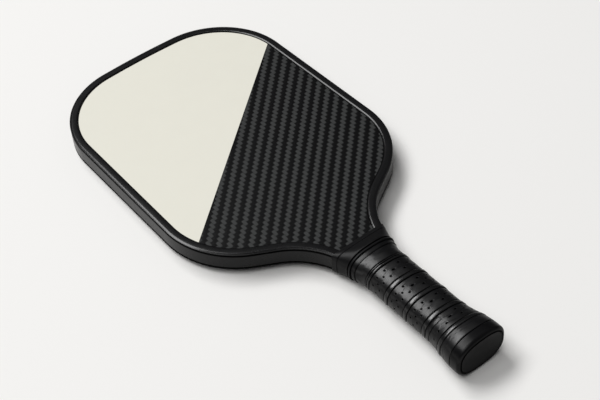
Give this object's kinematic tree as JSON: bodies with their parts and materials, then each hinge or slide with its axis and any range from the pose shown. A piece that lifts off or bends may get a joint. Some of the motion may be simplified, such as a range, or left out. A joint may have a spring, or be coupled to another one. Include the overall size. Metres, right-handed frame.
{
  "type": "pickleball paddle",
  "caption": "Hand paddle with a rounded rectangular honeycomb board, woven carbon and cream faces, a black edge guard and a wrapped oval handle, for striking a plastic ball.",
  "frame": {"origin": "centre of the flat butt end of the handle, in the middle of the board's thickness", "axes": "+X across the face, +Y from the butt end to the tip of the head, +Z out of the front face"},
  "size_m": [0.1956, 0.408, 0.0322],
  "materials": {
    "core_polypropylene": "translucent white",
    "core_veil": "non-woven, matte",
    "carbon_twill": "2x2 twill carbon in satin resin",
    "cream_film": "satin cream",
    "bonding_tape": "matte",
    "guard_plastic": "satin black",
    "shell_plastic": "as moulded",
    "cap_plastic": "satin black",
    "staple_wire": "galvanised",
    "disc_plastic": "fine grained black",
    "grip_cushion": "perforated, leather-grained",
    "finishing_tape": "smooth matte black",
    "collar_rubber": "satin black"
  },
  "bodies": {
    "root": {"honeycomb_core": "core_polypropylene", "front_core_veil": "core_veil", "back_core_veil": "core_veil", "front_face_sheet": "carbon_twill", "back_face_sheet": "carbon_twill", "front_colour_film": "cream_film", "back_colour_film": "cream_film", "guard_tape": "bonding_tape", "edge_guard": "guard_plastic", "front_handle_shell": "shell_plastic", "back_handle_shell": "shell_plastic", "butt_cap": "cap_plastic", "butt_cap_staples": "staple_wire", "butt_end_disc": "disc_plastic", "grip_wrap": "grip_cushion", "finishing_tape": "finishing_tape", "throat_collar": "collar_rubber"}
  },
  "joints": []
}
